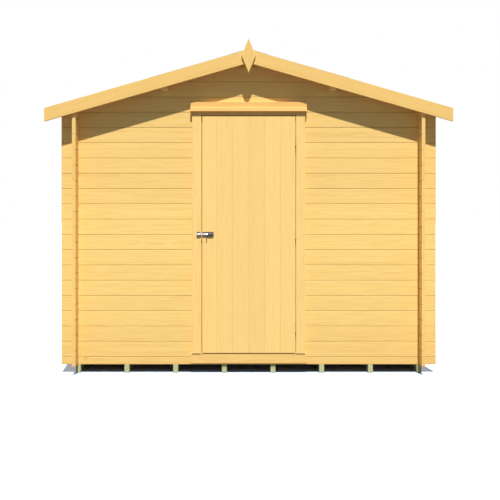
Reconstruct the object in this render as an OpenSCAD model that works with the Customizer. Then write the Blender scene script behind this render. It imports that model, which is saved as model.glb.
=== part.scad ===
// Log cabin: interlocked planed logs on floor bearers, a low gable roof on three beams,
// and one boarded door with a pad bolt. Millimetres, +Z up, front towards -Y,
// origin on the ground at the middle of the footprint.

/* [Cabin] */
// Width over the outer faces of the two side walls
cabin_w = 2730; // [2200:10:3400]
// Depth over the outer faces of the front and back walls
cabin_d = 2130; // [1600:10:3600]
// Full log courses in a side wall
side_courses = 17; // [16:1:21]

/* [Logs] */
// Thickness of a wall log
log_t = 28; // [22:1:45]
// Height that one log covers
log_cover = 120; // [116:1:145]
// Length of a log end past the wall that it crosses
log_overhang = 105; // [60:5:160]
// Bevel along each long edge, which makes the V joints
v_cut = 3; // [1:0.5:5]
// Thickness of the tongue on top of a log
tongue_t = 8; // [5:0.5:10]
// Height of the tongue
tongue_h = 7; // [4:0.5:9]

/* [Floor] */
// Width of a floor bearer
bearer_w = 38; // [32:1:70]
// Height of a floor bearer
bearer_h = 66; // [38:1:100]
// Distance from a side wall's outer face to the nearest bearer's outer face
bearer_inset = 7; // [0:1:12]
// Thickness of the floor boards
floor_t = 19; // [15:1:28]
// Gap between the floor and the walls
floor_gap = 4; // [1:1:12]

/* [Roof] */
// Slope of the roof in degrees
roof_pitch = 16; // [12:0.5:22]
// Thickness of the roof boards
roof_board_t = 19; // [12:1:25]
// Thickness of the roofing felt
felt_t = 2.5; // [1.5:0.5:4]
// Reach of the roof boards past a side wall
eaves_out = 182; // [80:1:300]
// Turned-down edge of the felt at the eaves
felt_drop = 24; // [10:1:40]
// Reach of the ridge felt down each slope
ridge_lap = 150; // [80:5:250]
// Width of the roof beams
beam_w = 44; // [34:1:70]
// Height of the roof beams at their middle
beam_h = 98; // [80:1:120]
// Distance from the ridge to a side purlin
purlin_x = 653; // [450:1:900]

/* [Bargeboards] */
// Width of a bargeboard
barge_w = 100; // [80:1:140]
// Thickness of a bargeboard
barge_t = 20; // [15:1:28]
// Reach of a bargeboard past the roof boards
barge_out = 28; // [0:1:60]
// Width of the diamond finial
finial_w = 108; // [80:1:160]
// Height of the diamond finial
finial_h = 266; // [200:1:360]
// Thickness of the finial
finial_t = 18; // [12:1:25]

/* [Door frame] */
// Height of the threshold above the bottom log
threshold_h = 30; // [20:1:60]
// Height of the sill's front board
sill_h = 78; // [50:1:88]
// Stand-off of the sill's front board from the wall
sill_proud = 18; // [12:1:30]
// Width of the frame's front boards
casing_w = 72; // [50:1:110]
// Thickness of the frame's front boards
casing_t = 24; // [18:1:30]
// Reach of the sill and the head past the side casings
head_lug = 13; // [0:1:40]
// Height of the head board
head_h = 105; // [85:1:130]
// Thickness of the frame's lining
lining_t = 19; // [15:1:26]
// Reach of the door stop into the opening
stop_w = 16; // [10:1:20]
// Thickness of the trim boards inside
trim_t = 18; // [12:1:25]
// Height of the drip board over the door
drip_h = 28; // [20:1:50]
// Stand-off of the drip board from the head board
drip_proud = 22; // [12:1:50]
// Height of the drip board above the head board's lower edge
drip_rise = 30; // [10:1:45]
// Lean of the drip board's front face, from its lower to its upper edge
drip_lean = 4; // [2:1:11]

/* [Door] */
// Width of the door leaf
door_w = 728; // [600:1:900]
// Height of the door leaf
door_h = 1854; // [1500:1:1870]
// Thickness of the door's boards
door_t = 19; // [15:1:19]
// Gap on the hinge side and above and below the leaf
door_gap = 5; // [5:0.5:8]
// Gap on the latch side
latch_gap = 8; // [5:0.5:12]
// Width of the ledges across the door's back
ledge_w = 95; // [70:1:120]
// Thickness of the ledges and braces
ledge_t = 20; // [15:1:25]
// Distance from the ledges to the leaf's side edges
ledge_inset = 34; // [28:1:60]
// Distance from the outer ledges to the leaf's top and bottom edges
ledge_margin = 150; // [60:1:260]

/* [Hinges] */
// Height of a butt hinge
hinge_h = 75; // [50:1:100]
// Radius of a hinge knuckle
knuckle_r = 4.5; // [3.5:0.1:6]
// Radius of a hinge pin
pin_r = 2.5; // [1.5:0.1:3]
// Thickness of a hinge leaf
hinge_leaf_t = 1.8; // [1:0.1:2.2]
// Depth of a hinge leaf
hinge_leaf_w = 17; // [12:1:18]
// Distance from the outer hinges to the leaf's top and bottom edges
hinge_margin = 200; // [120:1:300]

/* [Bolt] */
// Height of the bolt's middle above the leaf's lower edge
bolt_rise = 929; // [700:1:1100]
// Radius of the sliding rod
rod_r = 6.5; // [5:0.5:6.5]
// Length of the rod
rod_l = 102; // [96:1:108]
// Length of the barrel
barrel_l = 38; // [30:1:40]
// Radius of the barrel and the keeper loop
barrel_r = 9; // [9:0.5:14]
// Height of the plates
plate_h = 36; // [30:1:50]
// Thickness of the plates
plate_t = 2; // [1.5:0.5:3]
// Length of the plate on the door
plate_l = 86; // [70:1:100]
// Length of the keeper on the frame
keeper_l = 30; // [20:1:34]
// Distance from the frame's inner edge to the keeper
keeper_inset = 6; // [4:1:10]
// Length of the hanging handle below the rod's axis
handle_l = 44; // [36:1:60]
// Distance from the rod's tip to the handle's middle
handle_in = 47; // [44:1:50]

/* [Hidden] */

// Colours
pine = [0.95, 0.78, 0.47];
pale_pine = [0.98, 0.82, 0.52];
treated = [0.77, 0.77, 0.58];
felt_grey = [0.35, 0.38, 0.36];
zinc = [0.74, 0.74, 0.72];

// Clearance between pieces that meet
fit = 0.3;
// Overrun of a cutting shape past what it cuts
over = 5;

// Courses: the end walls start with half a log, so that the courses interlock
bearers = 8;
half_w = cabin_w / 2;
half_d = cabin_d / 2;
log_reach_x = half_w + log_overhang;
log_reach_y = half_d + log_overhang;
notch_h = log_cover / 4;
eaves_z = bearer_h + side_courses * log_cover;
first_joint = bearer_h + log_cover / 2;
function end_log_z(i) = i == 0 ? bearer_h : first_joint + (i - 1) * log_cover;
function end_log_h(i) = i == 0 ? log_cover / 2 : log_cover;
function side_log_z(i) = bearer_h + i * log_cover;

// Roof lines, as heights above the ground at a distance x from the ridge
slope = tan(roof_pitch);
board_v = roof_board_t / cos(roof_pitch);
felt_v = felt_t / cos(roof_pitch);
barge_v = barge_w / cos(roof_pitch);
roof_edge = half_w + eaves_out;
barge_edge = roof_edge + barge_out;
function under(x) = eaves_z + (half_w - abs(x)) * slope;
function board_top(x) = under(x) + board_v;
end_courses = 1 + ceil((under(0) - first_joint) / log_cover);

// Door opening
front_y = -half_d;
inner_y = front_y + log_t;
clear_half = (door_w + door_gap + latch_gap) / 2;
sill_top = first_joint + threshold_h;
leaf_x0 = -clear_half + latch_gap;
leaf_x1 = clear_half - door_gap;
leaf_z0 = sill_top + door_gap;
leaf_z1 = leaf_z0 + door_h;
head_z = leaf_z1 + door_gap;
casing_y = front_y - casing_t;
leaf_back_y = casing_y + door_t;
opening_half = clear_half + lining_t;
head_lining_t = lining_t + 7;
opening_top = head_z + head_lining_t;
// Courses above the bottom log that the opening cuts right through
cut_courses = floor((opening_top - first_joint) / log_cover + 0.001);

// Hinge axis, in front of the gap beside the leaf
hinge_x = leaf_x1 + door_gap / 2;
hinge_y = casing_y - knuckle_r - 0.5;
hinge_zs = [leaf_z0 + hinge_margin, (leaf_z0 + leaf_z1) / 2, leaf_z1 - hinge_margin];

// Bolt axis, on the latch side
bolt_z = leaf_z0 + bolt_rise;
loop_sink = 1;
bolt_y = casing_y - plate_t - barrel_r + loop_sink;
keeper_x1 = -clear_half - keeper_inset;
// Drawn back, the rod's tip stops 1 mm short of the keeper
rod_x0 = keeper_x1 + 1;

// ---- Logs ----

// Outline of a log's end: bevelled edges, a groove below and a tongue on top
module log_outline(h, tongue = true) {
    half = log_t / 2;
    groove = tongue_t / 2 + fit;
    top = h - fit;
    bottom_edge = [[-half, v_cut], [-half + v_cut, 0], [-groove, 0], [-groove, tongue_h + 1],
                   [groove, tongue_h + 1], [groove, 0], [half - v_cut, 0], [half, v_cut]];
    tongue_edge = tongue
        ? [[tongue_t / 2, top], [tongue_t / 2, top + tongue_h],
           [-tongue_t / 2, top + tongue_h], [-tongue_t / 2, top]]
        : [];
    top_edge = concat([[half, top - v_cut], [half - v_cut, top]], tongue_edge,
                      [[-half + v_cut, top], [-half, top - v_cut]]);
    polygon(concat(bottom_edge, top_edge));
}

module log_along_x(x0, x1, h, tongue = true) {
    translate([x0, 0, 0]) rotate([90, 0, 90])
        linear_extrude(x1 - x0) log_outline(h, tongue);
}

module log_along_y(reach, h, tongue = true) {
    rotate([90, 0, 0])
        linear_extrude(2 * reach, center = true) log_outline(h, tongue);
}

// Quarter notches below and above the middle of a log of height h, for the log that crosses it
module cross_notches(h, below = true) {
    w = log_t + 2 * fit;
    if (below)
        translate([-w / 2, -w / 2, -over]) cube([w, w, over + notch_h + fit / 2]);
    translate([-w / 2, -w / 2, h - notch_h - fit / 2]) cube([w, w, notch_h + 3 * over]);
}

// Space under the roof boards
module under_roof() {
    reach = log_reach_x + over;
    rotate([90, 0, 0]) linear_extrude(2 * (log_reach_y + over), center = true)
        polygon([[-reach, 0], [reach, 0], [reach, under(reach) - fit],
                 [0, under(0) - fit], [-reach, under(reach) - fit]]);
}

// The doorway through the front wall's logs, up to a height
module door_opening_cut(top) {
    translate([-opening_half, front_y - over, first_joint])
        cube([2 * opening_half, log_t + 2 * over, top - first_joint]);
}

// Log i of an end wall, across the cabin
module end_log(i) {
    h = end_log_h(i);
    difference() {
        log_along_x(-log_reach_x, log_reach_x, h);
        for (side = [-1, 1])
            translate([side * (half_w - log_t / 2), 0, 0]) cross_notches(h, i > 0);
    }
}

module beam_slots() {
    for (x = [-purlin_x, 0, purlin_x]) {
        z0 = under(x) - beam_h - fit;
        translate([x - beam_w / 2 - fit, -log_reach_y - over, z0])
            cube([beam_w + 2 * fit, 2 * (log_reach_y + over), under(0) - z0 + over]);
    }
}

// Logs first to last of an end wall, with the doorway cut up to cut_top in the front one
module end_wall(first, last, front = false, cut_top = opening_top) {
    y = front ? front_y + log_t / 2 : half_d - log_t / 2;
    difference() {
        intersection() {
            for (i = [first : last])
                translate([0, y, end_log_z(i)]) end_log(i);
            under_roof();
        }
        beam_slots();
        if (front) door_opening_cut(cut_top);
    }
}

// Logs beside the door: side is -1 on the left and 1 on the right
module front_wall_side(side) {
    color(pine) intersection() {
        end_wall(1, cut_courses, true, end_log_z(cut_courses + 1) + tongue_h + over);
        translate([side > 0 ? 0 : -log_reach_x - over, front_y - over, 0])
            cube([log_reach_x + over, log_t + 2 * over, under(0)]);
    }
}

module side_wall(side) {
    top = side_courses - 1;
    top_rise = log_t * slope + v_cut + 1;
    x = side * (half_w - log_t / 2);
    color(pine) intersection() {
        for (i = [0 : top])
            translate([x, 0, side_log_z(i)]) difference() {
                if (i == top) log_along_y(log_reach_y, log_cover + top_rise, false);
                else log_along_y(log_reach_y, log_cover);
                for (end = [-1, 1])
                    translate([0, end * (half_d - log_t / 2), 0]) cross_notches(log_cover);
            }
        under_roof();
    }
}

// ---- Floor ----

module floor_bearer(n) {
    first_x = half_w - bearer_inset - bearer_w / 2;
    x = -first_x + (n - 1) * 2 * first_x / (bearers - 1);
    color(treated) translate([x - bearer_w / 2, -half_d, 0])
        cube([bearer_w, cabin_d, bearer_h]);
}

module floor_deck() {
    w = cabin_w - 2 * (log_t + floor_gap);
    d = cabin_d - 2 * (log_t + floor_gap);
    color(pale_pine) translate([-w / 2, -d / 2, bearer_h]) cube([w, d, floor_t]);
}

// ---- Roof ----

// A strip along a slope, between two distances from the ridge, at a height above the roof's underside
module slope_strip(side, x0, x1, lift, v, reach_y) {
    rotate([90, 0, 0]) linear_extrude(2 * reach_y, center = true)
        polygon([[side * x0, under(x0) + lift], [side * x1, under(x1) + lift],
                 [side * x1, under(x1) + lift + v], [side * x0, under(x0) + lift + v]]);
}

module ridge_beam() {
    half = beam_w / 2;
    color(pine) rotate([90, 0, 0]) linear_extrude(2 * log_reach_y, center = true)
        polygon([[-half, under(0) - beam_h], [half, under(0) - beam_h],
                 [half, under(half) - fit], [0, under(0) - fit], [-half, under(half) - fit]]);
}

module purlin(side) {
    x0 = purlin_x - beam_w / 2;
    x1 = purlin_x + beam_w / 2;
    bottom = under(purlin_x) - beam_h;
    color(pine) rotate([90, 0, 0]) linear_extrude(2 * log_reach_y, center = true)
        polygon([[side * x0, bottom], [side * x1, bottom],
                 [side * x1, under(x1) - fit], [side * x0, under(x0) - fit]]);
}

module roof_boards(side) {
    color(pale_pine) slope_strip(side, fit / 2, roof_edge, 0, board_v, log_reach_y);
}

// The felt laps the bargeboards and stops at their outer faces
felt_reach_y = log_reach_y + barge_t - fit;

module felt(side) {
    color(felt_grey) union() {
        slope_strip(side, fit / 2, roof_edge + fit + felt_t, board_v + fit, felt_v, felt_reach_y);
        slope_strip(side, roof_edge + fit, roof_edge + fit + felt_t,
                    board_v + fit - felt_drop, felt_drop + felt_v, log_reach_y - fit);
    }
}

module ridge_felt() {
    lift = board_v + felt_v + 2 * fit;
    color(felt_grey) union() {
        slope_strip(-1, 0, ridge_lap, lift, felt_v, felt_reach_y);
        slope_strip(1, 0, ridge_lap, lift, felt_v, felt_reach_y);
    }
}

// end is -1 at the front and 1 at the back
module bargeboard(side, end) {
    x0 = fit / 2;
    y = end < 0 ? -log_reach_y : log_reach_y + barge_t;
    color(pine) translate([0, y, 0]) rotate([90, 0, 0]) linear_extrude(barge_t)
        polygon([[side * x0, board_top(x0)], [side * barge_edge, board_top(barge_edge)],
                 [side * barge_edge, board_top(barge_edge) - barge_v],
                 [side * x0, board_top(x0) - barge_v]]);
}

module finial(end) {
    y = end < 0 ? -log_reach_y - barge_t : log_reach_y + barge_t + finial_t;
    z = board_top(0) - barge_v / 2;
    color(pine) translate([0, y, z]) rotate([90, 0, 0]) linear_extrude(finial_t)
        polygon([[0, -finial_h / 2], [finial_w / 2, 0], [0, finial_h / 2], [-finial_w / 2, 0]]);
}

// ---- Door frame ----

// Jamb: casing outside, lining through the wall with the door stop on it, trim inside
module jamb(side) {
    stop_x = clear_half - stop_w;
    out_x = clear_half + casing_w;
    lining_x = opening_half - fit;
    color(pine) translate([0, 0, sill_top]) linear_extrude(head_z - sill_top)
        polygon([for (p = [[clear_half, casing_y], [out_x, casing_y], [out_x, front_y - fit],
                           [lining_x, front_y - fit], [lining_x, inner_y + fit],
                           [out_x, inner_y + fit], [out_x, inner_y + fit + trim_t],
                           [stop_x, inner_y + fit + trim_t],
                           [stop_x, leaf_back_y + door_gap],
                           [clear_half, leaf_back_y + door_gap]]) [side * p[0], p[1]]]);
}

head_half = clear_half + casing_w + head_lug;

module door_head() {
    stop_half = clear_half - stop_w - fit;
    trim_half = clear_half + casing_w;
    stop_y = leaf_back_y + door_gap;
    back_y = inner_y + fit + trim_t;
    color(pine) union() {
        translate([-head_half, casing_y - 1, head_z])
            cube([2 * head_half, casing_t + 1 - fit, head_h]);
        translate([-opening_half + fit, casing_y, head_z])
            cube([2 * (opening_half - fit), back_y - casing_y, head_lining_t - fit]);
        translate([-trim_half, inner_y + fit, head_z])
            cube([2 * trim_half, trim_t, casing_w]);
        translate([-stop_half, stop_y, head_z - stop_w])
            cube([2 * stop_half, back_y - stop_y, stop_w + 1]);
    }
}

module door_sill() {
    back_y = inner_y + fit + trim_t;
    y0 = front_y - sill_proud;
    color(pine) union() {
        translate([-head_half, y0, sill_top - sill_h])
            cube([2 * head_half, sill_proud - fit, sill_h]);
        translate([-opening_half + fit, y0, first_joint])
            cube([2 * (opening_half - fit), inner_y - y0, threshold_h]);
        translate([-clear_half - casing_w, inner_y + fit, first_joint])
            cube([2 * (clear_half + casing_w), trim_t, threshold_h]);
        translate([-opening_half + fit, inner_y - 1, first_joint])
            cube([2 * (opening_half - fit), back_y - inner_y + 1, threshold_h]);
    }
}

// The front face leans back, so that water runs off it
module drip_board() {
    y1 = casing_y - 1;
    y0 = y1 - drip_proud;
    z0 = head_z + drip_rise;
    color(pine) translate([-head_half, 0, 0]) rotate([90, 0, 90])
        linear_extrude(2 * head_half)
            polygon([[y0, z0], [y1, z0], [y1, z0 + drip_h + 5], [y0 + drip_lean, z0 + drip_h]]);
}

// ---- Hinges ----

knuckle_l = hinge_h / 3;

module frame_hinges() {
    color(zinc) for (z = hinge_zs) translate([hinge_x, hinge_y, z]) {
        cylinder(h = hinge_h, r = pin_r, center = true, $fn = 32);
        for (end = [-1, 1]) {
            translate([0, 0, end * knuckle_l])
                cylinder(h = knuckle_l - fit, r = knuckle_r, center = true, $fn = 48);
            translate([door_gap / 2 - hinge_leaf_t, 0, end * knuckle_l - (knuckle_l - fit) / 2])
                cube([hinge_leaf_t, knuckle_r + 0.5 + hinge_leaf_w, knuckle_l - fit]);
        }
        translate([door_gap / 2 - hinge_leaf_t, knuckle_r + 0.5, -hinge_h / 2 + fit])
            cube([hinge_leaf_t, hinge_leaf_w, hinge_h - 2 * fit]);
    }
}

module door_hinges() {
    h = knuckle_l - fit;
    color(zinc) for (z = hinge_zs) translate([hinge_x, hinge_y, z]) {
        difference() {
            union() {
                cylinder(h = h, r = knuckle_r, center = true, $fn = 48);
                translate([-door_gap / 2, 0, -h / 2])
                    cube([hinge_leaf_t, knuckle_r + 1, h]);
            }
            cylinder(h = hinge_h, r = pin_r + 0.15, center = true, $fn = 48);
        }
        translate([-door_gap / 2, knuckle_r + 0.5, -hinge_h / 2 + fit])
            cube([hinge_leaf_t, hinge_leaf_w, hinge_h - 2 * fit]);
    }
}

// ---- Door ----

module door_boards() {
    color(pale_pine) translate([leaf_x0, casing_y, leaf_z0]) cube([door_w, door_t, door_h]);
}

ledge_x0 = leaf_x0 + ledge_inset;
ledge_x1 = leaf_x1 - ledge_inset;
ledge_zs = [leaf_z0 + ledge_margin, (leaf_z0 + leaf_z1 - ledge_w) / 2,
            leaf_z1 - ledge_margin - ledge_w];

module door_ledges() {
    color(pine) for (z = ledge_zs)
        translate([ledge_x0, leaf_back_y, z]) cube([ledge_x1 - ledge_x0, ledge_t, ledge_w]);
}

// Braces rise from the hinge side to the latch side, cut to fit between the ledges
module door_braces() {
    brace_v = ledge_w * 1.2;
    foot_x = ledge_x1 - 10;
    head_x = ledge_x0 + 10;
    color(pine) for (i = [0, 1]) {
        z0 = ledge_zs[i] + ledge_w + fit;
        z1 = ledge_zs[i + 1] - fit;
        translate([0, leaf_back_y + ledge_t, 0]) rotate([90, 0, 0]) linear_extrude(ledge_t)
            polygon([[foot_x, z0], [foot_x, z0 + brace_v], [head_x + 60, z1], [head_x, z1],
                     [head_x, z1 - brace_v], [foot_x - 60, z0]]);
    }
}

// ---- Bolt ----

module bolt_plate() {
    x0 = leaf_x0 + 2;
    color(zinc) difference() {
        union() {
            translate([x0, casing_y - plate_t, bolt_z - plate_h / 2])
                cube([plate_l, plate_t, plate_h]);
            translate([x0 + plate_l - barrel_l - 6, bolt_y, bolt_z])
                barrel(barrel_l);
        }
        translate([x0 - over, bolt_y, bolt_z]) rotate([0, 90, 0])
            cylinder(h = plate_l + 2 * over, r = rod_r + fit, $fn = 48);
    }
}

// Round-fronted loop along X, which sinks loop_sink into its plate
module barrel(l) {
    rotate([0, 90, 0]) cylinder(h = l, r = barrel_r, $fn = 48);
    translate([0, 0, -barrel_r]) cube([l, barrel_r, 2 * barrel_r]);
}

module bolt_keeper() {
    x0 = keeper_x1 - keeper_l;
    color(zinc) difference() {
        union() {
            translate([x0, casing_y - plate_t, bolt_z - plate_h / 2])
                cube([keeper_l, plate_t, plate_h]);
            translate([x0, bolt_y, bolt_z]) barrel(keeper_l);
        }
        translate([x0 - over, bolt_y, bolt_z]) rotate([0, 90, 0])
            cylinder(h = keeper_l + 2 * over, r = rod_r + 1, $fn = 48);
    }
}

module bolt_rod() {
    handle_x = rod_x0 + handle_in;
    color(zinc) union() {
        translate([rod_x0, bolt_y, bolt_z]) rotate([0, 90, 0])
            cylinder(h = rod_l, r = rod_r, $fn = 48);
        translate([handle_x - 3, bolt_y - 3, bolt_z - handle_l + 8])
            cube([6, 6, handle_l - 8]);
        translate([handle_x - 3, bolt_y, bolt_z - handle_l + 8]) rotate([0, 90, 0])
            cylinder(h = 6, r = 8, $fn = 48);
    }
}

floor_bearer(1);  // floor_bearer_1
floor_bearer(2);  // floor_bearer_2
floor_bearer(3);  // floor_bearer_3
floor_bearer(4);  // floor_bearer_4
floor_bearer(5);  // floor_bearer_5
floor_bearer(6);  // floor_bearer_6
floor_bearer(7);  // floor_bearer_7
floor_bearer(8);  // floor_bearer_8
floor_deck();  // floor
side_wall(-1);  // left_wall
side_wall(1);  // right_wall
color(pine) end_wall(0, cut_courses);  // back_wall
color(pine) end_wall(cut_courses + 1, end_courses - 1);  // back_gable
color(pine) end_wall(0, 0, true);  // front_base_log
front_wall_side(-1);  // front_wall_left
front_wall_side(1);  // front_wall_right
color(pine) end_wall(cut_courses + 1, end_courses - 1, true);  // front_gable
ridge_beam();
purlin(-1);  // left_purlin
purlin(1);  // right_purlin
roof_boards(-1);  // left_roof_boards
roof_boards(1);  // right_roof_boards
felt(-1);  // left_felt
felt(1);  // right_felt
ridge_felt();
bargeboard(-1, -1);  // front_left_bargeboard
bargeboard(1, -1);  // front_right_bargeboard
bargeboard(-1, 1);  // back_left_bargeboard
bargeboard(1, 1);  // back_right_bargeboard
finial(-1);  // front_finial
finial(1);  // back_finial
jamb(-1);  // left_jamb
jamb(1);  // right_jamb
door_head();
door_sill();
drip_board();
frame_hinges();
bolt_keeper();
door_boards();
door_ledges();
door_braces();
door_hinges();
bolt_plate();
bolt_rod();
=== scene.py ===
# The looks of a log cabin, piece by piece in the order in which it is put up. Metres.

import math
import bmesh
import bpy
from mathutils import Matrix, Vector, noise


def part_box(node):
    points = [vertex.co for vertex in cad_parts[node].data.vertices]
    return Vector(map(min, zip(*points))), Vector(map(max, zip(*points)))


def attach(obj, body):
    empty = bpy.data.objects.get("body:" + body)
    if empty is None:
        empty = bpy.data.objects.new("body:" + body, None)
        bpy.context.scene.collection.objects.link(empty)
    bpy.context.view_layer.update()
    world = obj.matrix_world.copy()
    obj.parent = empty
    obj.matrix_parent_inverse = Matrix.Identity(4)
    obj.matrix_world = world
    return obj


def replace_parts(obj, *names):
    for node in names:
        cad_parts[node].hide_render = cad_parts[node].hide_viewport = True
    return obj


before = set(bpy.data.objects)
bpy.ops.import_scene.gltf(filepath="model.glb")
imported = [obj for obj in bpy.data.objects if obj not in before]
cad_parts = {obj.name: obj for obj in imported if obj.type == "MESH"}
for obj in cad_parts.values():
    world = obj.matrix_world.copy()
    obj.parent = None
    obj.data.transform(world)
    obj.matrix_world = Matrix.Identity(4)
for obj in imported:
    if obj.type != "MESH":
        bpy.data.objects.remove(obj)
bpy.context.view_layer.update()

# ---- Camera ----
# It stands level in front of the door, a little above the pad bolt, so that uprights look
# upright. The small shift brings more ground than sky into view.

camera = bpy.data.cameras.new("camera")
camera.lens = 57.2
camera.sensor_width = 36
camera.shift_x = 0.0027
camera.shift_y = -0.084
viewer = bpy.data.objects.new("camera", camera)
bpy.context.scene.collection.objects.link(viewer)
bpy.context.scene.camera = viewer
front_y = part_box("front_base_log")[0].y
eye_distance = 6.24
eye_height = 1.295
viewer.location = (0, front_y - eye_distance, eye_height)
viewer.rotation_euler = (math.pi / 2, 0, 0)

# ---- Daylight and ground ----
# One high lamp in front gives the roof its shadow on the wall, and two soft weak ones
# behind light the sides and the back. The ground is a plain pale floor.

bpy.context.scene.view_settings.view_transform = "Standard"


class Wire:
    """A node's output. Sums written with it add Math nodes."""

    def __init__(self, tree, socket):
        self.tree = tree
        self.socket = socket

    def out(self, name):
        return Wire(self.tree, self.socket.node.outputs[name])

    def maths(self, operation, *values):
        return self.tree.add("Math", {"operation": operation}, dict(enumerate(values)))

    def __add__(self, other):
        return self.maths("ADD", self, other)

    def __sub__(self, other):
        return self.maths("SUBTRACT", self, other)

    def __rsub__(self, other):
        return self.maths("SUBTRACT", other, self)

    def __mul__(self, other):
        return self.maths("MULTIPLY", self, other)

    def __truediv__(self, other):
        return self.maths("DIVIDE", self, other)

    def __pow__(self, other):
        return self.maths("POWER", self, other)

    def __abs__(self):
        return self.maths("ABSOLUTE", self)

    def floor(self):
        return self.maths("FLOOR", self)

    def clamp(self):
        return self.tree.add("Clamp", {}, {0: self})

    __radd__ = __add__
    __rmul__ = __mul__


class Tree:
    """A tree of shader nodes, empty at first."""

    def __init__(self, tree):
        self.nodes = tree.nodes
        self.links = tree.links
        self.nodes.clear()

    def add(self, kind, settings, inputs, output=0):
        node = self.nodes.new("ShaderNode" + kind)
        for name, value in settings.items():
            setattr(node, name, value)
        for name, value in inputs.items():
            if isinstance(value, Wire):
                self.links.new(value.socket, node.inputs[name])
            else:
                node.inputs[name].default_value = value
        return Wire(self, node.outputs[output]) if node.outputs else None

    def mix(self, factor, first, second, blend="MIX"):
        settings = {"data_type": "RGBA", "blend_type": blend}
        return self.add("Mix", settings, {0: factor, 6: first, 7: second}, 2)

    def seen(self):
        """1 for rays from the camera and for what metal and glass show."""
        path = self.add("LightPath", {}, {}, "Is Camera Ray")
        return (path + path.out("Is Glossy Ray") + path.out("Is Transmission Ray")).clamp()


def srgb(red, green, blue):
    """A colour as a shader takes it, from its three screen values of 0 to 255."""
    curve = [((c / 255 + 0.055) / 1.055) ** 2.4 if c > 10 else c / 255 / 12.92
             for c in (red, green, blue)]
    return (*curve, 1)


def lamp(name, travel, energy, spread):
    light = bpy.data.lights.new(name, "SUN")
    light.energy = energy
    light.angle = math.radians(spread)
    stand = bpy.data.objects.new(name, light)
    stand.rotation_euler = Vector(travel).to_track_quat("-Z", "Y").to_euler()
    bpy.context.scene.collection.objects.link(stand)


lamp("front_lamp", (-0.10, 1, -1.73), 4.95, 1)
lamp("back_left_lamp", (0.8, -1, -0.7), 1.5, 25)
lamp("back_right_lamp", (-0.8, -1, -0.7), 1.5, 25)

world = bpy.data.worlds.new("sky")
world.use_nodes = True
bpy.context.scene.world = world
sky = Tree(world.node_tree)
sky_colour = sky.mix(sky.seen(), srgb(118, 122, 132), (1, 1, 1, 1))
sky.add("OutputWorld", {}, {"Surface": sky.add("Background", {}, {"Color": sky_colour})})

ground_material = bpy.data.materials.new("ground")
ground_material.use_nodes = True
ground = Tree(ground_material.node_tree)
ground_colour = ground.mix(ground.seen(), srgb(100, 100, 100), srgb(211, 227, 255))
ground_diffuse = ground.add("BsdfDiffuse", {}, {"Color": ground_colour})
ground.add("OutputMaterial", {}, {"Surface": ground_diffuse})

bm = bmesh.new()
bmesh.ops.create_grid(bm, x_segments=1, y_segments=1, size=60)
ground_mesh = bpy.data.meshes.new("ground")
bm.to_mesh(ground_mesh)
bm.free()
ground_mesh.materials.append(ground_material)
ground_object = bpy.data.objects.new("ground", ground_mesh)
bpy.context.scene.collection.objects.link(ground_object)

# ---- Floor bearers ----
# Eight sawn softwood bearers, pressure treated, so they are a pale green. They run from
# front to back under the walls and the floor, and lie on the ground.

bearer_count = 8
bearer_pitch = (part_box("floor_bearer_8")[0].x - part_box("floor_bearer_1")[0].x) / (bearer_count - 1)


def new_material(name):
    """A material and its tree of nodes, empty at first."""
    material = bpy.data.materials.new(name)
    material.use_nodes = True
    return material, Tree(material.node_tree)


def finish_surface(tree, colour, roughness, height, depth, metallic=0.0, gloss=0.35):
    """Joins colour, roughness and relief, which is depth metres deep, to the surface."""
    relief = tree.add("Bump", {}, {"Strength": 1, "Distance": depth, "Height": height})
    surface = tree.add("BsdfPrincipled", {}, {
        "Base Color": colour, "Roughness": roughness, "Metallic": metallic,
        "Specular IOR Level": gloss, "Normal": relief})
    tree.add("OutputMaterial", {}, {"Surface": surface})


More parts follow.
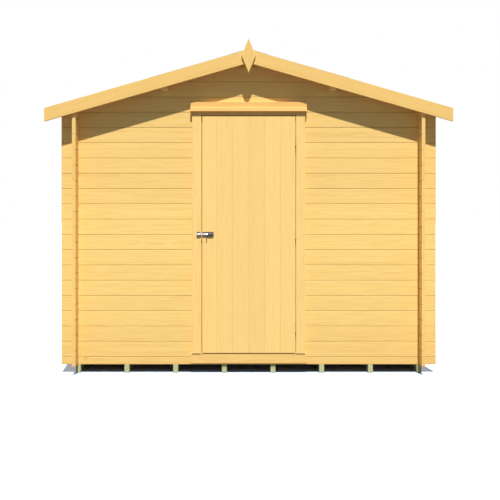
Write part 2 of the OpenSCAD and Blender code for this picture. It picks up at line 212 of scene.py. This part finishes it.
def timber(name, lay, pale, dark, pitch=1.0, joint=None, knots=0.30, contrast=0.6, seed=0.0,
           painted_shade=None):
    """Planed softwood. lay turns x, y and z into the distance along the grain, the height
    up the board's face, from its lowest board, and the depth into it. Growth rings run
    round a pith line that differs from board to board, and bend round the knots.
    joint holds how far the painted shade of a V joint reaches over a board's edge, how
    strong it is, and the board's half length, past which its cut ends are left clean.
    painted_shade turns x, y and z into where shade is painted on the wood, darker."""
    material, tree = new_material(name)
    place = tree.add("TexCoord", {}, {}, "Object")
    split = tree.add("SeparateXYZ", {}, {0: place})
    run, high, deep = lay(*[split.out(axis) for axis in "XYZ"])

    course = (high / pitch).floor()
    luck = tree.add("TexWhiteNoise", {"noise_dimensions": "1D"}, {"W": course + (seed + 0.37)}, "Color")
    luck = tree.add("SeparateColor", {}, {0: luck})
    first, second, third = [luck.out(part) for part in ("Red", "Green", "Blue")]
    middle = high - (course + 0.5) * pitch
    cut_end = abs(run)
    run = run + first * 17.0

    def cloud(along, across, detail=2.0, rough=0.5):
        spot = tree.add("CombineXYZ", {}, {
            0: run * along, 1: middle * across, 2: deep * across + second * 9.0})
        return tree.add("TexNoise", {}, {
            "Vector": spot, "Scale": 1.0, "Detail": detail, "Roughness": rough})

    # Knots: one cell in a few holds one, and the rings swell round it
    knot_size = 0.055
    swell_size = 0.22
    knot_cell = tree.add("CombineXYZ", {}, {
        0: run * 3.0, 1: middle * 6.0 + first * 4.0, 2: third * 11.0})
    knot = tree.add("TexVoronoi", {"feature": "F1"}, {"Vector": knot_cell, "Scale": 1.0})
    chosen = tree.add("SeparateColor", {}, {0: knot.out("Color")})
    chosen = chosen.maths("LESS_THAN", chosen, knots)
    nearness = (1 - knot.out("Distance") / knot_size).clamp() * chosen
    swell = (1 - knot.out("Distance") / swell_size).clamp() ** 2 * chosen

    # Growth rings round the pith
    rings_per_metre = 135
    pith_high = middle + (first - 0.5) * min(pitch, 0.16)
    pith_deep = deep + 0.022 + third * 0.04
    ring = (pith_high ** 2 + pith_deep ** 2) ** 0.5
    ring = ring + (cloud(0.9, 3.0) - 0.5) * 0.03 + (cloud(5.0, 14.0) - 0.5) * 0.010 + swell * 0.02
    grain = tree.add("TexNoise", {"noise_dimensions": "1D"}, {
        "W": ring * rings_per_metre + second * 40, "Scale": 1.0, "Detail": 3.0, "Roughness": 0.62})
    streak = cloud(5.0, 75.0, 2.0)
    fibre = cloud(9.0, 260.0, 3.0, 0.6)
    latewood = ((grain - 0.5) * 2.2 + (streak - 0.5) * 1.9 + (fibre - 0.5) * 1.4 + 0.40).clamp()
    colour = tree.mix(latewood * contrast, pale, dark)
    blush = ((cloud(1.4, 7.0) - 0.5) * 2.2 + second * 0.5).clamp() * 0.5
    warm = tuple(a * b for a, b in zip(pale, (1.03, 0.95, 0.88, 1)))
    colour = tree.mix(blush * (1 - latewood), colour, warm)
    tone = 0.968 + third * 0.045
    if joint:
        # Painted shade along the V joints, on the faces beside each joint.
        reach, joint_shade, half_length = joint
        edge = ((abs(middle) - (pitch / 2 - reach)) / reach * 2).clamp()
        edge = edge * cut_end.maths("LESS_THAN", cut_end, half_length - 0.002)
        tone = tone * (1 - edge * joint_shade)
    colour = tree.mix(1.0, colour, tone, "MULTIPLY")
    deep_tone = tuple(a * b for a, b in zip(dark, (0.66, 0.52, 0.42, 1)))
    # Painted shade: the wood is darker where the mask gives it.
    if painted_shade:
        colour = tree.mix(painted_shade(*[split.out(axis) for axis in "XYZ"]) * 0.6, colour, deep_tone)
    colour = tree.mix(nearness ** 0.6 * 0.75, colour, deep_tone)
    roughness = 0.52 + latewood * 0.14
    height = fibre * 0.5 + grain * 0.5 - nearness * 0.4
    relief_depth = 0.0006
    finish_surface(tree, colour, roughness, height, relief_depth)
    return material


def add_piece(name, bm, material, body, smooth=0.0):
    """A new piece from a bmesh, on its body."""
    mesh = bpy.data.meshes.new(name)
    bm.to_mesh(mesh)
    bm.free()
    mesh.materials.append(material)
    if smooth:
        mesh.shade_smooth()
        mesh.set_sharp_from_angle(angle=math.radians(smooth))
    piece = bpy.data.objects.new(name, mesh)
    bpy.context.scene.collection.objects.link(piece)
    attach(piece, body)
    return piece


def eased(node, arris, material, body, slot, segments=2, smooth=0.0):
    """A copy of a CAD node with its sharp edges eased, which stands for the node."""
    sharp_angle = math.radians(20)
    bm = bmesh.new()
    bm.from_mesh(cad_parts[node].data)
    bmesh.ops.remove_doubles(bm, verts=bm.verts, dist=1e-5)
    bmesh.ops.dissolve_limit(bm, angle_limit=math.radians(1), verts=bm.verts, edges=bm.edges)
    sharp = [e for e in bm.edges if len(e.link_faces) == 2 and e.calc_face_angle() > sharp_angle]
    bmesh.ops.bevel(bm, geom=sharp, offset=arris, affect="EDGES", segments=segments,
                    profile=0.5, clamp_overlap=True, material=-1)
    piece = add_piece(node + "_wood" if slot.endswith(("pine", "wood", "boards")) else node + "_part",
                      bm, material, body, smooth)
    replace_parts(piece, node)
    return piece


bearer_wood = timber("bearer_wood", lambda x, y, z: (y, x + 1.6, z), srgb(203, 202, 156),
                     srgb(178, 176, 128), pitch=bearer_pitch, knots=0.5, contrast=0.8)
for number in range(1, bearer_count + 1):
    eased(f"floor_bearer_{number}", 0.0015, bearer_wood, "cabin", "treated_wood")

# ---- Floor ----
# Tongued and grooved softwood boards across the bearers, each held by two wire nails at
# every bearer. A narrow gap is left between the floor and the walls.


def board(bm, low, high, arris, along=None, segments=1):
    """A board between two corners. Its long edges are eased, or all its edges."""
    low, high = Vector(low), Vector(high)
    size = Matrix.Diagonal((*(high - low), 1))
    cube = bmesh.ops.create_cube(bm, size=1, matrix=Matrix.Translation((low + high) / 2) @ size)
    edges = {e for v in cube["verts"] for e in v.link_edges}
    if along is not None:
        edges = {e for e in edges if abs((e.verts[0].co - e.verts[1].co).normalized()[along]) > 0.9}
    bmesh.ops.bevel(bm, geom=list(edges), offset=arris, affect="EDGES", segments=segments,
                    profile=0.5, clamp_overlap=True, material=-1)


def steel(name, colour, rough=0.35, metallic=1.0, darkened_where=None, darkened_colour=None):
    """Plated steel, with a faint cloudy spangle. The mask turns x, y and z into where the
    metal is darker and rougher, in the given colour: used for the keeper's darker plate, the rod's
    darker handle and painted shade on the rod's tail."""
    material, tree = new_material(name)
    place = tree.add("TexCoord", {}, {}, "Object")
    cloud = tree.add("TexNoise", {}, {"Vector": place, "Scale": 60.0, "Detail": 3.0})
    spangle = tree.add("TexVoronoi", {}, {"Vector": place, "Scale": 350.0}, "Distance")
    greyer = tuple(c * 0.8 for c in colour[:3]) + (1,)
    shade = tree.mix(((cloud - 0.5) * 1.6 + spangle * 0.5).clamp(), colour, greyer)
    roughness = rough + (cloud - 0.5) * 0.25
    if darkened_where:
        split = tree.add("SeparateXYZ", {}, {0: place})
        darkening = darkened_where(*[split.out(axis) for axis in "XYZ"])
        shade = tree.mix(darkening * (0.8 + cloud * 0.3), shade, darkened_colour)
        roughness = roughness + darkening * 0.25
    finish_surface(tree, shade, roughness, cloud + spangle * 0.3, 0.0001, metallic, 0.5)
    return material


nail_steel = steel("nail_steel", srgb(150, 148, 140), 0.45, 0.9)


def nail_head(bm, spot, out, radius=0.003, proud=0.0006, sides=10):
    """A flat round head that stands a little proud of the surface."""
    turn = Vector(out).to_track_quat("Z", "Y").to_matrix().to_4x4()
    middle = Vector(spot) + Vector(out).normalized() * (proud / 2 - 0.0005)
    bmesh.ops.create_cone(bm, cap_ends=True, segments=sides, radius1=radius, radius2=radius * 0.85,
                          depth=proud + 0.001, matrix=Matrix.Translation(middle) @ turn)


floor_low, floor_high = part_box("floor")
floor_count = 18
floor_cover = (floor_high.y - floor_low.y) / floor_count
floor_wood = timber("floor_wood", lambda x, y, z: (x, y - floor_low.y, z - floor_low.z),
                    srgb(238, 198, 124), srgb(214, 168, 98), pitch=floor_cover, knots=0.4, seed=3.0)
floor_joint = 0.0004
floor_nail_inset = 0.012
bm = bmesh.new()
nails = bmesh.new()
for row in range(floor_count):
    y = floor_low.y + row * floor_cover
    board(bm, (floor_low.x, y + floor_joint, floor_low.z),
          (floor_high.x, y + floor_cover - floor_joint, floor_high.z), 0.0015, 0)
    for number in range(1, bearer_count + 1):
        low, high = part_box(f"floor_bearer_{number}")
        x = max(min((low.x + high.x) / 2, floor_high.x - floor_nail_inset),
                floor_low.x + floor_nail_inset)
        for share in (0.22, 0.78):
            nail_head(nails, (x, y + share * floor_cover, floor_high.z), (0, 0, 1), 0.0022, 0.0003)
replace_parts(add_piece("floor_boards", bm, floor_wood, "cabin"), "floor")
add_piece("floor_nails", nails, nail_steel, "cabin")

# ---- Logs ----
# Planed softwood logs with bevelled edges, which make the V joints, and a tongue on top
# that the next log's groove drops over. They are notched where two walls cross, and
# their ends run on past the corner. No nails hold them.

first_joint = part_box("front_wall_left")[0].z
cut_courses = 16
log_cover = (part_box("front_gable")[0].z - first_joint) / cut_courses
side_low, side_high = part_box("right_wall")
side_middle = (side_low.x + side_high.x) / 2
end_middle = (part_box("back_wall")[0].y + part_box("back_wall")[1].y) / 2
end_half, side_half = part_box("back_wall")[1].x, side_high.y

log_pale = srgb(254, 216, 131)
log_dark = srgb(235, 190, 106)
side_pale = srgb(252, 212, 129)
side_dark = srgb(234, 187, 105)
# Painted shade on the logs: darker towards the bottom and under the eaves.
low_shade_top = 0.45
low_shade_strength = 0.3
eaves_shade_from = 1.25
eaves_shade_fade = 0.3
eaves_shade_strength = 0.14


def painted_log_shade(x, y, z):
    """Painted shade: darker on the lowest logs, and on the logs under the eaves."""
    under_eaves_shade = ((z - eaves_shade_from) / eaves_shade_fade).clamp()
    return (1 - z / low_shade_top).clamp() * low_shade_strength + under_eaves_shade * eaves_shade_strength


end_log_wood = timber(
    "end_log_wood", lambda x, y, z: (x, z - (first_joint - log_cover), abs(y) - end_middle),
    log_pale, log_dark, pitch=log_cover, joint=(0.006, 0.15, end_half), contrast=0.55, seed=11.0,
    painted_shade=painted_log_shade)
side_log_wood = timber(
    "side_log_wood", lambda x, y, z: (y, z - side_low.z, abs(x) - side_middle),
    side_pale, side_dark, pitch=log_cover, joint=(0.005, 0.34, side_half),
    contrast=0.55, seed=29.0, painted_shade=painted_log_shade)
end_walls = ("back_wall", "back_gable", "front_base_log", "front_wall_left",
             "front_wall_right", "front_gable")
for node in end_walls:
    eased(node, 0.0006, end_log_wood, "cabin", "log_pine", 1)
for node in ("left_wall", "right_wall"):
    eased(node, 0.0006, side_log_wood, "cabin", "log_pine", 1)

# ---- Roof beams ----
# A ridge beam and two purlins of planed softwood. They lie in slots in the gables and
# carry the roof boards out over both ends of the cabin.

beam_wood = timber("beam_wood", lambda x, y, z: (y, z - 2.1, abs(x) - 0.3), log_pale, log_dark,
                   pitch=0.6, seed=41.0)
for node in ("ridge_beam", "left_purlin", "right_purlin"):
    eased(node, 0.002, beam_wood, "cabin", "beam_pine")

# ---- Roof boards ----
# Tongued and grooved softwood boards from the ridge to the eaves, nailed to the beams and
# to the top side logs. Their V joints face down and show under the eaves and inside.

pitch_angle = math.radians(16)
slope = math.tan(pitch_angle)
rise_share = 1 / math.cos(pitch_angle)
ridge_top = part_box("left_roof_boards")[1].z
roof_board_t = 0.019
roof_board_v = roof_board_t * rise_share
roof_joint = 0.0003
ridge_joint = 0.00015
roof_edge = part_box("right_roof_boards")[1].x
roof_low_y, roof_high_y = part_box("left_roof_boards")[0].y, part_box("left_roof_boards")[1].y
roof_count = 26
roof_cover = (roof_high_y - roof_low_y) / roof_count


def lay_on_roof(bm):
    """Turns a flat layer down both slopes from the ridge. Height 0 is the boards' top."""
    for vert in bm.verts:
        vert.co.z += ridge_top - abs(vert.co.x) * slope


roof_wood = timber(
    "roof_wood", lambda x, y, z: (abs(x) * rise_share, y - roof_low_y, z + abs(x) * slope - ridge_top),
    srgb(240, 200, 126), srgb(216, 170, 100), pitch=roof_cover, knots=0.4, seed=53.0)
for side, node in ((-1, "left_roof_boards"), (1, "right_roof_boards")):
    bm = bmesh.new()
    ends = sorted((side * ridge_joint, side * roof_edge))
    for row in range(roof_count):
        y = roof_low_y + row * roof_cover
        board(bm, (ends[0], y + roof_joint, -roof_board_v),
              (ends[1], y + roof_cover - roof_joint, 0), 0.002, 0)
    lay_on_roof(bm)
    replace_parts(add_piece(node + "_laid", bm, roof_wood, "cabin"), node)

# ---- Roofing felt ----
# Mineral felt from a roll: a lower strip and an upper strip on each slope, and a strip
# over the ridge. Each laps the one below it, and clout nails hold the laps and edges.

felt_t = 0.0017
felt_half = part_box("left_felt")[1].y - 0.014
felt_drop = 0.024
lap = 0.075
lower_top = 0.70
ridge_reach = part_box("ridge_felt")[1].x


def felt_finish():
    """Slate-grey mineral granules bedded in bitumen."""
    material, tree = new_material("felt")
    place = tree.add("TexCoord", {}, {}, "Object")
    grit = tree.add("TexVoronoi", {}, {"Vector": place, "Scale": 420.0}, "Distance")
    flecks = tree.add("TexWhiteNoise", {}, {"Vector": tree.add("TexVoronoi", {}, {
        "Vector": place, "Scale": 420.0}, "Position")}, "Value")
    patch = tree.add("TexNoise", {}, {"Vector": place, "Scale": 2.2, "Detail": 4.0})
    streak_place = tree.add("Mapping", {}, {"Vector": place, "Scale": (9.0, 0.8, 9.0)})
    streak = tree.add("TexNoise", {}, {"Vector": streak_place, "Scale": 1.0, "Detail": 3.0})
    tone = (flecks * 0.55 + patch * 0.3 + streak * 0.3 - 0.1).clamp()
    colour = tree.mix(tone, srgb(82, 88, 83), srgb(150, 157, 149))
    finish_surface(tree, colour, 0.86 + patch * 0.1, 1 - grit, 0.0007, 0.0, 0.3)
    return material


felt_material = felt_finish()


def felt_strip(bm, near, far, lift, half):
    """One strip, from near to far from the ridge, with a soft wave and a slightly uneven edge."""
    rows = max(4, round((far - near) / 0.06))
    size = Matrix.Diagonal(((far - near) / 2, half, 1, 1))
    place = Matrix.Translation(((near + far) / 2, 0, lift))
    grid = bmesh.ops.create_grid(bm, x_segments=rows, y_segments=48, size=1, matrix=place @ size)
    for vert in grid["verts"]:
        vert.co.z += 0.0010 * (1 + noise.noise(vert.co * 3.1))
        if min(abs(vert.co.x - near), abs(vert.co.x - far)) < 1e-5 and abs(vert.co.y) < half - 1e-5:
            vert.co.x += 0.0010 * noise.noise(vert.co * 9.0)
    faces = list({f for v in grid["verts"] for f in v.link_faces})
    skin = bmesh.ops.extrude_face_region(bm, geom=faces)
    top = [v for v in skin["geom"] if isinstance(v, bmesh.types.BMVert)]
    bmesh.ops.translate(bm, verts=top, vec=(0, 0, felt_t))


felt_lift = 0.0003
eaves_out = 0.0028
turn_down_inset = 0.012
row_inset = 0.02
nails = bmesh.new()
nail_rows = []
for side, node in ((-1, "left_felt"), (1, "right_felt")):
    bm = bmesh.new()
    eaves = side * (roof_edge + eaves_out)
    felt_strip(bm, *sorted((side * lower_top, eaves)), felt_lift, felt_half)
    felt_strip(bm, *sorted((side * 0.001, side * (lower_top + lap))), felt_lift + felt_t, felt_half)
    turn_down = sorted((side * (roof_edge + felt_lift), eaves))
    low = (turn_down[0], -felt_half + turn_down_inset, -felt_drop)
    high = (turn_down[1], felt_half - turn_down_inset, felt_lift + felt_t + 0.001)
    board(bm, low, high, 0.0008)
    bmesh.ops.recalc_face_normals(bm, faces=bm.faces)
    lay_on_roof(bm)
    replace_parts(add_piece(node + "_laid", bm, felt_material, "cabin", 40), node)
    nail_rows += [side * (edge - row_inset) for edge in (lower_top + lap, ridge_reach, roof_edge)]
bm = bmesh.new()
felt_strip(bm, -ridge_reach, ridge_reach, felt_lift + 2 * felt_t, felt_half)
bmesh.ops.recalc_face_normals(bm, faces=bm.faces)
lay_on_roof(bm)
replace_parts(add_piece("ridge_felt_laid", bm, felt_material, "cabin", 40), "ridge_felt")

clout_gap = 0.075
clout_radius = 0.0042
clout_proud = 0.0012
clout_lift = 0.0018
verge_inset = 0.035
clout_steps = int(2 * felt_half / clout_gap)
verge_steps = int(roof_edge / clout_gap)
layers_under = {0: 2, 1: 3, 2: 1}
for index, x in enumerate(nail_rows):
    top = felt_lift + layers_under[index % 3] * felt_t + clout_lift
    for step in range(clout_steps + 1):
        y = (step - clout_steps / 2) * clout_gap
        nail_head(nails, (x, y, top), (0, 0, 1), clout_radius, clout_proud)
for side in (-1, 1):
    for step in range(1, verge_steps):
        x = step * clout_gap
        layers = 3 if x < ridge_reach else 2 if x < lower_top + lap else 1
        for end in (-1, 1):
            top = felt_lift + layers * felt_t + clout_lift
            spot = (side * x, end * (felt_half - verge_inset), top)
            nail_head(nails, spot, (0, 0, 1), clout_radius, clout_proud)
lay_on_roof(nails)
add_piece("felt_nails", nails, nail_steel, "cabin")

# ---- Bargeboards and finials ----
# Planed softwood boards cover the roof's ends at both gables, under the felt's edge. Oval
# nails hold them to the beams and roof boards, and two more hold each finial.

barge_pale, barge_dark = srgb(245, 203, 119), srgb(231, 182, 100)


def along_slope(x, y, z):
    run = abs(x) * math.cos(pitch_angle) - z * math.sin(pitch_angle)
    high = abs(x) * math.sin(pitch_angle) + z * math.cos(pitch_angle)
    return run, high - 2.3, y


barge_wood = timber("barge_wood", along_slope, barge_pale, barge_dark, pitch=0.9, knots=0.1,
                    contrast=0.45, seed=61.0)
barge_width = 0.1
barge_nails_at = (0.10, 0.653, 1.01, 1.351, 1.53)
barge_nail_rise = 0.028
oval_radius = 0.0014
oval_proud = 0.0002
nails = bmesh.new()
for end, word in ((-1, "front"), (1, "back")):
    face_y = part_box(f"{word}_left_bargeboard")[0 if end < 0 else 1].y
    for side, hand in ((-1, "left"), (1, "right")):
        eased(f"{word}_{hand}_bargeboard", 0.0015, barge_wood, "cabin", "bargeboard_pine")
        for x in barge_nails_at:
            middle = ridge_top - x * slope - barge_width / 2 * rise_share
            for up in (-barge_nail_rise, barge_nail_rise):
                spot = (side * x, face_y, middle + up)
                nail_head(nails, spot, (0, end, 0), oval_radius, oval_proud, 8)
add_piece("bargeboard_nails", nails, nail_steel, "cabin")

finial_wood = timber("finial_wood", lambda x, y, z: (z, x + 0.2, y), barge_pale, barge_dark, pitch=0.4,
                     knots=0.0, contrast=0.45, seed=71.0)
for node in ("front_finial", "back_finial"):
    eased(node, 0.0025, finial_wood, "cabin", "bargeboard_pine", 3)
nails = bmesh.new()
finial_nail_rise = 0.03
finial_middle = (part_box("front_finial")[0].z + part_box("front_finial")[1].z) / 2
for node, end in (("front_finial", -1), ("back_finial", 1)):
    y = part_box(node)[0 if end < 0 else 1].y
    for up in (-finial_nail_rise, finial_nail_rise):
        nail_head(nails, (0, y, finial_middle + up), (0, end, 0), oval_radius, oval_proud, 8)
add_piece("finial_nails", nails, nail_steel, "cabin")

# ---- Door frame ----
# Planed softwood: two jambs and a head with their casings, and a sill. The drip board over
# the door has a sloping top, to throw water clear. Lost-head nails hold the casings.

frame_pale, frame_dark = srgb(255, 216, 133), srgb(242, 197, 115)
casing_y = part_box("left_jamb")[0].y
leaf_low, leaf_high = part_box("door_boards")


def painted_rebate_shade(x, y, z):
    """Painted shade in the rebate on the bolt's side of the doorway."""
    beside = (x.maths("LESS_THAN", x, leaf_low.x + 0.008)
              * x.maths("GREATER_THAN", x, leaf_low.x - 0.009))
    inside = y.maths("GREATER_THAN", y, casing_y + 0.005)
    return beside * inside * y.maths("LESS_THAN", y, casing_y + 0.026)


# The jambs carry painted shade in the bolt-side rebate.
jamb_wood = timber("jamb_wood", lambda x, y, z: (z, x + 0.9, y), frame_pale, frame_dark, pitch=0.9,
                   knots=0.0, contrast=0.6, seed=83.0, painted_shade=painted_rebate_shade)


def along_x(x, y, z):
    return x, z + 0.1, y


head_wood = timber("head_wood", along_x, srgb(241, 194, 113), srgb(227, 176, 97), pitch=0.31,
                   knots=0.0, contrast=0.6, seed=97.0)
sill_wood = timber("sill_wood", along_x, srgb(250, 207, 125), srgb(236, 188, 107), pitch=0.31,
                   knots=0.0, contrast=0.6, seed=97.0)
for node in ("left_jamb", "right_jamb"):
    eased(node, 0.0012, jamb_wood, "cabin", "frame_pine")
for node, wood in (("door_head", head_wood), ("door_sill", sill_wood), ("drip_board", head_wood)):
    eased(node, 0.0012, wood, "cabin", "frame_pine")

lost_head = 0.0012
lost_proud = 0.0002
casing_nails = 5
casing_nail_end = 0.12
casing_nail_edge = 0.02
nails = bmesh.new()
jamb_low, jamb_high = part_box("right_jamb")
nail_run = jamb_high.z - jamb_low.z - 2 * casing_nail_end
for side in (-1, 1):
    for step in range(casing_nails):
        z = jamb_low.z + casing_nail_end + step * nail_run / (casing_nails - 1)
        spot = (side * (jamb_high.x - casing_nail_edge), casing_y, z)
        nail_head(nails, spot, (0, -1, 0), lost_head, lost_proud, 8)
sill_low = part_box("door_sill")[0]
sill_nail_height = 0.024
for x in (-0.40, -0.2, 0, 0.2, 0.40):
    spot = (x, sill_low.y, sill_low.z + sill_nail_height)
    nail_head(nails, spot, (0, -1, 0), lost_head, lost_proud, 8)
add_piece("frame_nails", nails, nail_steel, "cabin")

# ---- Door ----
# Six tongued and grooved boards stand side by side, with V joints on the face. Three
# ledges are screwed across the back, with two braces between them.

board_cover = 0.125
door_joint = 0.0003
door_wood = timber("door_wood", lambda x, y, z: (z, x + 0.5, y - leaf_low.y), srgb(254, 215, 133),
                   srgb(243, 198, 116), pitch=board_cover, knots=0.06, contrast=0.55, seed=101.0)
bm = bmesh.new()
joints = [leaf_low.x] + [board_cover * k for k in range(-2, 3)] + [leaf_high.x]
for x0, x1 in zip(joints, joints[1:]):
    board(bm, (x0 + door_joint, leaf_low.y, leaf_low.z),
          (x1 - door_joint, leaf_high.y, leaf_high.z), 0.0018, 1)
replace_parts(add_piece("door_boards_set", bm, door_wood, "door"), "door_boards")


def screw_head(bm, spot, out, radius=0.0036):
    """A countersunk head with a flat rim and a small round recess."""
    turn = Vector(out).to_track_quat("Z", "Y").to_matrix().to_4x4()
    place = Matrix.Translation(Vector(spot)) @ turn
    bmesh.ops.create_cone(bm, cap_ends=True, segments=16, radius1=radius * 0.75, radius2=radius,
                          depth=0.0016, matrix=place @ Matrix.Translation((0, 0, -0.0003)))
    caps = [f for f in bm.faces if len(f.verts) == 16
            and (f.calc_center_median() - Vector(spot)).length < 0.001
            and f.normal.dot(Vector(out).normalized()) > 0.9]
    for rim, drop in ((0.16, 0.0), (0.3, -0.0007)):
        bmesh.ops.inset_region(bm, faces=caps, thickness=radius * rim)
        bmesh.ops.translate(bm, verts=list({v for f in caps for v in f.verts}),
                            vec=Vector(out).normalized() * drop)


ledge_pale, ledge_dark = srgb(248, 208, 132), srgb(233, 186, 110)
ledge_wood = timber("ledge_wood", lambda x, y, z: (x, z - 0.2, y), ledge_pale, ledge_dark,
                    pitch=0.5, knots=0.3, contrast=0.6, seed=113.0)
brace_low, brace_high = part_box("door_braces")
eased("door_ledges", 0.004, ledge_wood, "door", "door_pine")
brace_rise = (brace_high.z - brace_low.z) / 2
brace_turn = math.atan2(brace_rise, brace_high.x - brace_low.x)


def along_brace(x, y, z):
    return (z * math.sin(brace_turn) - x * math.cos(brace_turn),
            x * math.sin(brace_turn) + z * math.cos(brace_turn) + 1.0, y)


brace_wood = timber("brace_wood", along_brace, ledge_pale, ledge_dark, pitch=0.6,
                    knots=0.3, contrast=0.6, seed=127.0)
eased("door_braces", 0.003, brace_wood, "door", "door_pine")
screws = bmesh.new()
ledge_low, ledge_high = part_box("door_ledges")
ledge_width = 0.095
ledge_count = 3
ledge_screw_inset = 0.02
screw_spread = 0.06
ledge_rise = (ledge_high.z - ledge_low.z - ledge_width) / (ledge_count - 1)
for level in range(ledge_count):
    for x0, x1 in zip(joints, joints[1:]):
        for up in (0.25, 0.75):
            x = (x0 + x1) / 2 + (up - 0.5) * screw_spread
            x = max(ledge_low.x + ledge_screw_inset, min(ledge_high.x - ledge_screw_inset, x))
            z = ledge_low.z + level * ledge_rise + up * ledge_width
            screw_head(screws, (x, ledge_high.y, z), (0, 1, 0))
add_piece("ledge_screws", screws, nail_steel, "door", 40)

# ---- Hinges ----
# Three steel butt hinges with a brassed finish. Their leaves are screwed to the jamb's and
# the door's edges, so that only the knuckles show when the door is shut.

hinge_steel = steel("hinge_steel", srgb(196, 158, 92), 0.42)
for node, body in (("frame_hinges", "cabin"), ("door_hinges", "door")):
    eased(node, 0.0003, hinge_steel, body, "hinge_steel", 1, 35)
hinge_low, hinge_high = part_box("frame_hinges")
hinge_count = 3
hinge_height = 0.075
leaf_inset = 0.0018
hinge_screw = 0.0028
hinge_step = (hinge_high.z - hinge_low.z - hinge_height) / (hinge_count - 1)
for body, out, face_x in (("cabin", -1, hinge_high.x - leaf_inset),
                          ("door", 1, leaf_high.x + leaf_inset)):
    screws = bmesh.new()
    for level in range(hinge_count):
        for up, depth in ((0.16, 0.006), (0.5, 0.011), (0.84, 0.006)):
            z = hinge_low.z + level * hinge_step + up * hinge_height
            screw_head(screws, (face_x, casing_y + depth, z), (out, 0, 0), hinge_screw)
    add_piece(f"{body}_hinge_screws", screws, hinge_steel, body, 40)

# ---- Pad bolt ----
# A zinc-plated rod slides through a barrel on the door into a keeper on the frame. Its
# flat handle hangs down. Each plate is held by screws.

plate_t = 0.002
plate_y = casing_y - plate_t
plate_low, plate_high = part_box("bolt_plate")
rod_middle = (plate_low.z + plate_high.z) / 2
rod_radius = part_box("bolt_rod")[1].z - rod_middle


def darker_handle_and_shaded_tail(x, y, z):
    """The hanging handle, which is darker, and painted shade on the end of the rod that stays behind
    the loop.
    """
    handle = z.maths("LESS_THAN", z, rod_middle - rod_radius - 0.001)
    return (handle + x.maths("GREATER_THAN", x, plate_high.x - 0.010)).clamp()


def plate_only(x, y, z):
    return y.maths("GREATER_THAN", y, plate_y - 0.0006)


bolt_screw = 0.0024
bolt_screw_rise = 0.0135
dark_zinc = srgb(84, 81, 78)
# The rod's handle is darker, and its tail carries painted shade.
rod_zinc = steel("rod_zinc", srgb(200, 199, 195), 0.32, 1.0, darker_handle_and_shaded_tail, srgb(92, 78, 60))
keeper_zinc = steel("keeper_zinc", srgb(176, 174, 170), 0.38, 1.0, plate_only, dark_zinc)
plate_zinc = steel("plate_zinc", dark_zinc, 0.55, 0.7)
for node, body, metal in (("bolt_keeper", "cabin", keeper_zinc), ("bolt_plate", "door", plate_zinc),
                          ("bolt_rod", "bolt", rod_zinc)):
    eased(node, 0.0005, metal, body, "bolt_zinc", 2, 35)
for node, body, columns in (("bolt_keeper", "cabin", (0.22, 0.78)),
                            ("bolt_plate", "door", (0.08, 0.42, 0.92))):
    low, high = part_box(node)
    screws = bmesh.new()
    for share in columns:
        for up in (-bolt_screw_rise, bolt_screw_rise):
            spot = (low.x + share * (high.x - low.x), plate_y, rod_middle + up)
            screw_head(screws, spot, (0, -1, 0), bolt_screw)
    add_piece(node + "_screws", screws, plate_zinc, body, 40)
